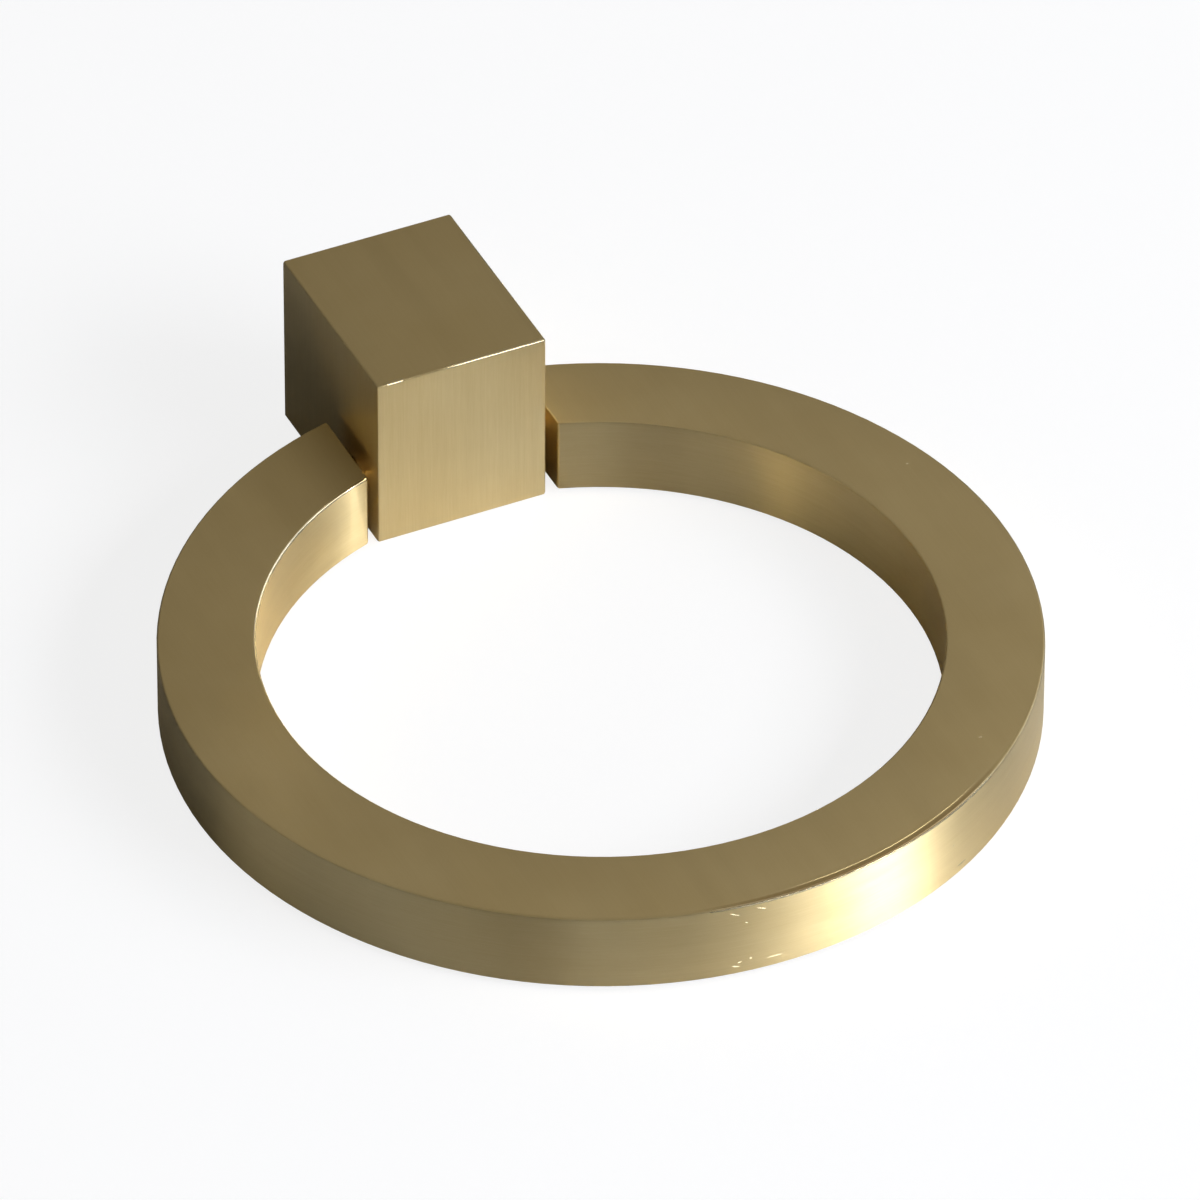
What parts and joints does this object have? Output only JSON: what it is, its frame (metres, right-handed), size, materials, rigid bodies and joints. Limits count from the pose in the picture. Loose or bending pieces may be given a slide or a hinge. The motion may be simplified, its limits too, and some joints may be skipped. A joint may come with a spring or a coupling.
{
  "type": "ring pull handle",
  "caption": "Solid brass ring pull for a drawer or cabinet front: a flat round ring of rectangular section hinged on a square post.",
  "frame": {"origin": "mouth of the mounting hole, in the middle of the post's base, in the plane of the drawer front", "axes": "+Z away from the drawer front, -Y from the post towards the middle of the ring, X along the pivot pin"},
  "size_m": [0.076, 0.0862, 0.0172],
  "materials": {
    "post_brass": "satin brushed",
    "ring_brass": "satin brushed",
    "pin_brass": "drawn rod"
  },
  "bodies": {
    "post_body": {"post": "post_brass"},
    "ring_body": {"ring": "ring_brass", "pivot_pin": "pin_brass"}
  },
  "joints": [
    {"name": "ring_hinge", "type": "hinge", "parent": "post_body", "child": "ring_body", "pos_m": [0, -0.00497, 0.0041], "axis": [-1, 0, 0], "range_deg": [-0.3, 95]}
  ]
}
